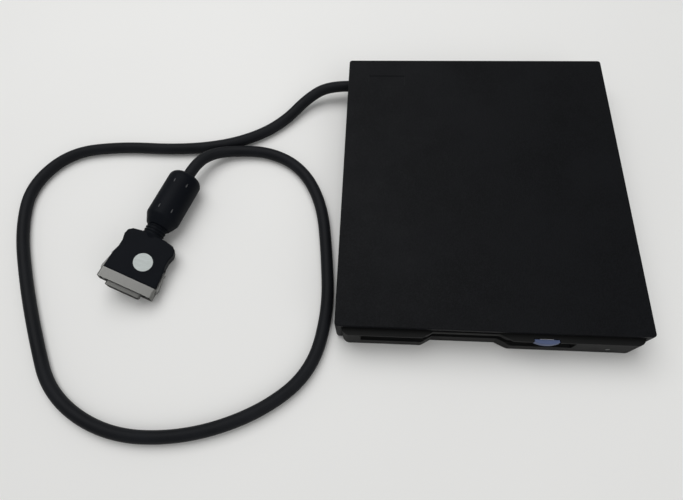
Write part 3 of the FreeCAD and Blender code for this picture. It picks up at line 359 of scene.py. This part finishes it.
def add_cable(width, material):
    """The free cable, on the same points as the solid, from the wall to the moulded sleeve."""
    points = [Vector(p) * MM for p in CABLE_POINTS]
    lead_in = plug_point(NECK_OFFSET, SLEEVE_END + LEAD_IN, 0.0)
    points += [lead_in, plug_point(NECK_OFFSET, SLEEVE_END, 0.0)]
    curve = bpy.data.curves.new("cable_line", "CURVE")
    curve.dimensions = "3D"
    curve.resolution_u = 16
    curve.bevel_depth = width / 2.0
    curve.bevel_resolution = 8
    curve.use_fill_caps = True
    spline = curve.splines.new("NURBS")
    spline.points.add(len(points) - 1)
    for target, point in zip(spline.points, points):
        target.co = (*point, 1.0)
    spline.order_u = 3
    spline.use_endpoint_u = True
    curve.materials.append(material)
    return new_object("cable_jacket", curve), points


def fade_to_pale(s):
    """Far from the object the desk turns into the plain backdrop, for the camera only."""
    length = s.node("ShaderNodeVectorMath", operation="LENGTH")
    s.feed(length.inputs[0], s.where)
    far = Wave(s, length.outputs["Value"]).ramp(0.35, 1.1)
    seen = Wave(s, s.node("ShaderNodeLightPath").outputs["Is Camera Ray"])
    glow = s.node("ShaderNodeEmission")
    glow.inputs["Color"].default_value = BACKDROP
    blend = s.node("ShaderNodeMixShader")
    s.feed(blend.inputs[0], far * seen)
    s.feed(blend.inputs[1], s.bsdf.outputs[0])
    s.feed(blend.inputs[2], glow.outputs[0])
    s.feed(s.tree.nodes["Material Output"].inputs["Surface"], blend.outputs[0])


def pale_world(strength):
    """Even white light, with the backdrop's colour where the camera meets it."""
    world = bpy.data.worlds.new("room")
    world.use_nodes = True
    tree = world.node_tree
    lit = tree.nodes["Background"]
    lit.inputs["Color"].default_value = (1.0, 1.0, 1.0, 1.0)
    lit.inputs["Strength"].default_value = strength
    shown = tree.nodes.new("ShaderNodeBackground")
    shown.inputs["Color"].default_value = BACKDROP
    path = tree.nodes.new("ShaderNodeLightPath")
    blend = tree.nodes.new("ShaderNodeMixShader")
    tree.links.new(path.outputs["Is Camera Ray"], blend.inputs[0])
    tree.links.new(lit.outputs[0], blend.inputs[1])
    tree.links.new(shown.outputs[0], blend.inputs[2])
    tree.links.new(blend.outputs[0], tree.nodes["World Output"].inputs["Surface"])
    return world


def lathe(name, profile, material, segments=72, transform=None):
    """Turned piece on the neck's axis, from a closed outline of (radius, back) in millimetres."""
    build = bmesh.new()
    rings = []
    for step in range(segments):
        angle = 2.0 * math.pi * step / segments
        ring = []
        for radius, back in profile:
            across = radius * math.cos(angle) + NECK_OFFSET
            ring.append(build.verts.new((across * MM, back * MM, radius * math.sin(angle) * MM)))
        rings.append(ring)
    for ring, following in zip(rings, rings[1:] + rings[:1]):
        for index in range(len(profile)):
            after = (index + 1) % len(profile)
            build.faces.new((ring[index], following[index], following[after], ring[after]))
    bmesh.ops.recalc_face_normals(build, faces=build.faces)
    mesh = bpy.data.meshes.new(name)
    build.to_mesh(mesh)
    build.free()
    mesh.transform(transform or plug_matrix())
    mesh.shade_smooth()
    mesh.set_sharp_from_angle(angle=math.radians(SHARP_ANGLE))
    mesh.materials.append(material)
    return new_object(name, mesh)


def rounded(profile, cuts, size):
    """The same outline with its corners softened by short curves."""
    soft = []
    count = len(profile)
    for index, corner in enumerate(profile):
        here = Vector(corner)
        before = Vector(profile[index - 1])
        after = Vector(profile[(index + 1) % count])
        reach = min(size, 0.4 * (before - here).length, 0.4 * (after - here).length)
        start = here + (before - here).normalized() * reach
        finish = here + (after - here).normalized() * reach
        for cut in range(cuts + 1):
            t = cut / cuts
            soft.append(tuple(start * (1 - t) ** 2 + here * 2 * t * (1 - t) + finish * t * t))
    return soft


def sleeve_profile():
    """Outline of the moulded ferrite sleeve: tapered front, straight barrel, domed end."""
    steps = 10
    dome = []
    for step in range(steps + 1):
        angle = math.radians(90.0 * step / steps)
        dome.append((SLEEVE_RADIUS - SLEEVE_DOME + SLEEVE_DOME * math.cos(angle),
                     SLEEVE_END - SLEEVE_DOME + SLEEVE_DOME * math.sin(angle)))
    cuts = 5
    corners = [(CABLE_BORE, NECK_END), (SLEEVE_RADIUS - SLEEVE_TAPER_DEPTH, NECK_END),
               (SLEEVE_RADIUS, NECK_END + SLEEVE_TAPER), (SLEEVE_RADIUS, SLEEVE_END - SLEEVE_DOME)]
    # Only the two corners of the taper are rounded, each by cuts + 1 points.
    taper = rounded(corners, cuts, SLEEVE_SOFTENING)[cuts + 1:3 * (cuts + 1)]
    return taper + dome + [(CABLE_BORE, SLEEVE_END), (CABLE_BORE, NECK_END)]


def sleeve_pips(material):
    """Small raised moulding marks on the sleeve, in a paler material that is a painted highlight."""
    build = bmesh.new()
    half_width, half_length, half_height = PIP_SIZE
    for across in PIP_PLACES:
        for back in (NECK_END + PIP_INSETS[0], SLEEVE_END - PIP_INSETS[1]):
            made = bmesh.ops.create_uvsphere(build, u_segments=16, v_segments=10, radius=1.0)["verts"]
            height = math.sqrt(SLEEVE_RADIUS ** 2 - across ** 2)
            for vert in made:
                x, y, z = vert.co
                vert.co = ((across + NECK_OFFSET + x * half_width) * MM,
                           (back + y * half_length) * MM,
                           (height + z * half_height) * MM)
    mesh = bpy.data.meshes.new("sleeve_pips")
    build.to_mesh(mesh)
    build.free()
    mesh.transform(plug_matrix())
    mesh.shade_smooth()
    mesh.materials.append(material)
    return new_object("sleeve_pips", mesh)


def neck_ribs(material, count):
    """Ribs of the strain relief: one soft ring, repeated along the neck by Geometry Nodes."""
    core = lathe("neck_core", [(CABLE_BORE, PLUG_END), (NECK_RADIUS, PLUG_END),
                               (NECK_RADIUS, NECK_END), (CABLE_BORE, NECK_END)], material)
    width = (NECK_END - PLUG_END) / (2 * count - 1)
    ring = rounded([(RIB_FOOT, 0.0), (RIB_RADIUS, 0.0), (RIB_RADIUS, width), (RIB_FOOT, width)],
                   4, RIB_SOFTENING)
    unit = lathe("neck_ring", ring, material, transform=Matrix.Identity(4))
    group = bpy.data.node_groups.new("Ribs", "GeometryNodeTree")
    group.interface.new_socket("Geometry", in_out="OUTPUT", socket_type="NodeSocketGeometry")
    out = group.nodes.new("NodeGroupOutput")
    line = group.nodes.new("GeometryNodeMeshLine")
    line.inputs["Count"].default_value = count
    line.inputs["Start Location"].default_value = (0.0, PLUG_END * MM, 0.0)
    line.inputs["Offset"].default_value = (0.0, 2 * width * MM, 0.0)
    source = group.nodes.new("GeometryNodeObjectInfo")
    source.inputs["Object"].default_value = unit
    spread = group.nodes.new("GeometryNodeInstanceOnPoints")
    real = group.nodes.new("GeometryNodeRealizeInstances")
    paint = group.nodes.new("GeometryNodeSetMaterial")
    paint.inputs["Material"].default_value = material
    group.links.new(line.outputs[0], spread.inputs["Points"])
    group.links.new(source.outputs["Geometry"], spread.inputs["Instance"])
    group.links.new(spread.outputs[0], real.inputs[0])
    group.links.new(real.outputs[0], paint.inputs["Geometry"])
    group.links.new(paint.outputs[0], out.inputs[0])
    carrier = new_object("ribs_source", bpy.data.meshes.new("ribs_source"))
    carrier.modifiers.new("Ribs", "NODES").node_group = group
    bpy.context.view_layer.update()
    evaluated = carrier.evaluated_get(bpy.context.evaluated_depsgraph_get())
    shaped = bpy.data.meshes.new_from_object(evaluated)
    shaped.transform(plug_matrix())
    if not shaped.materials:
        shaped.materials.append(material)
    ribs = new_object("neck_ribs", shaped)
    for helper in (carrier, unit):
        bpy.data.objects.remove(helper)
    return core, ribs


class DriveSettings(bpy.types.PropertyGroup):
    cable_width: FloatProperty(name="Cable width", description="Diameter of the cable in metres",
                               default=0.0062)
    cable_length: FloatProperty(name="Cable length", description="Length of the free cable in metres",
                                default=0.645)
    rib_count: IntProperty(name="Ribs", description="Number of ribs on the neck of the plug", default=4)
    floor_colour: FloatVectorProperty(name="Floor colour", description="Colour of the desk top",
                                      size=3, default=(0.90, 0.90, 0.885), subtype="COLOR")
    key_power: FloatProperty(name="Key power", description="Power of the large soft lamp in watts",
                             default=6.0)


class DRIVE_OT_finishes(bpy.types.Operator):
    """Lay the cable in place of the solid one"""
    bl_idname = "drive.finishes"
    bl_label = "Apply finishes"

    def execute(self, context):
        made = finishes()
        record = STATE["frame"]["record"]
        for part in record["subparts"]:
            node = STATE["frame"]["nodes"].get(part["node"])
            if node is None:
                continue
            node.data.materials.clear()
            # The shroud takes the darker copy of the plug nickel, a painted shade.
            finish = "shroud_shaded_nickel" if part["node"] == "plug_shroud" else part["material_slot"]
            node.data.materials.append(made[finish])
        STATE["finishes"] = made
        return {"FINISHED"}


class DRIVE_OT_cable(bpy.types.Operator):
    """Lay the cable and declare what is on it"""
    bl_idname = "drive.cable"
    bl_label = "Lay cable"

    def execute(self, context):
        settings = context.scene.drive_settings
        cable, points = add_cable(settings.cable_width, STATE["finishes"]["cable_black"])
        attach(cable, "case")
        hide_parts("cable")
        nodes = STATE["frame"]["nodes"]
        replaced = ("cable", "ferrite_sleeve", "plug_strain_relief")
        on_cable = [nodes[n] for n in STATE["frame"]["record"]["physics"]["cord_nodes"]
                    if n not in replaced] + STATE["neck"]
        return {"FINISHED"}


class DRIVE_OT_neck(bpy.types.Operator):
    """Turn the ferrite sleeve with its marks and the ribbed neck"""
    bl_idname = "drive.neck"
    bl_label = "Add neck and sleeve"

    def execute(self, context):
        black = STATE["finishes"]["plug_black"]
        sleeve = lathe("ferrite_cover", sleeve_profile(), black, 96)
        core, ribs = neck_ribs(black, context.scene.drive_settings.rib_count)
        STATE["neck"] = [sleeve, sleeve_pips(STATE["finishes"]["sleeve_mark"]), core, ribs]
        for piece in STATE["neck"]:
            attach(piece, "case")
        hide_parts("ferrite_sleeve")
        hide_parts("plug_strain_relief")
        return {"FINISHED"}


class DRIVE_OT_stage(bpy.types.Operator):
    """Set up desk, lamps and camera"""
    bl_idname = "drive.stage"
    bl_label = "Set stage"

    def execute(self, context):
        settings = context.scene.drive_settings
        mesh = bpy.data.meshes.new("desk")
        build = bmesh.new()
        bmesh.ops.create_grid(build, x_segments=1, y_segments=1, size=DESK_HALF_SIDE)
        build.to_mesh(mesh)
        build.free()
        desk = new_object("desk", mesh)
        s = Shader("DeskTop")
        cloud = s.noise(6.0, 2.0)
        tone = tuple(settings.floor_colour)
        tint = s.mix(cloud.ramp(0.3, 0.7), tuple(c * 0.98 for c in tone), tone)
        s.finish(tint, 0.6, specular=0.3)
        fade_to_pale(s)
        mesh.materials.append(s.material)
        fill_power = settings.key_power * FILL_SHARE
        for name, place, size, power in (("key", KEY_PLACE, KEY_SIZE, settings.key_power),
                                         ("fill", FILL_PLACE, FILL_SIZE, fill_power)):
            lamp = bpy.data.lights.new(name, "AREA")
            lamp.size = size
            lamp.energy = power
            holder = new_object(name, lamp)
            holder.location = place
            aim = Vector(LAMP_AIM) - Vector(place)
            holder.rotation_euler = aim.to_track_quat("-Z", "Y").to_euler()
        context.scene.world = pale_world(WORLD_STRENGTH)
        context.scene.view_settings.view_transform = "Standard"
        lens = bpy.data.cameras.new("camera")
        lens.sensor_width = SENSOR_WIDTH
        lens.lens = LENS_LENGTH
        lens.clip_start = 0.01
        camera = new_object("camera", lens)
        camera.matrix_world = Matrix(CAMERA_MATRIX)
        context.scene.camera = camera
        return {"FINISHED"}


class DRIVE_PT_panel(bpy.types.Panel):
    bl_label = "Drive"
    bl_idname = "DRIVE_PT_panel"
    bl_space_type = "VIEW_3D"
    bl_region_type = "UI"
    bl_category = "Drive"

    def draw(self, context):
        settings = context.scene.drive_settings
        for name in ("cable_width", "cable_length", "rib_count", "floor_colour", "key_power"):
            self.layout.prop(settings, name)
        for operator in (DRIVE_OT_finishes, DRIVE_OT_neck, DRIVE_OT_cable, DRIVE_OT_stage):
            self.layout.operator(operator.bl_idname)


CLASSES = (DriveSettings, DRIVE_OT_finishes, DRIVE_OT_neck, DRIVE_OT_cable, DRIVE_OT_stage,
           DRIVE_PT_panel)
STATE = {}


def register():
    for item in CLASSES:
        bpy.utils.register_class(item)
    bpy.types.Scene.drive_settings = PointerProperty(type=DriveSettings)


def unregister():
    del bpy.types.Scene.drive_settings
    for item in reversed(CLASSES):
        bpy.utils.unregister_class(item)


def main():
    register()
    STATE["frame"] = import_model()
    for step in (bpy.ops.drive.finishes, bpy.ops.drive.neck, bpy.ops.drive.cable, bpy.ops.drive.stage):
        step()


if __name__ == "__main__":
    main()
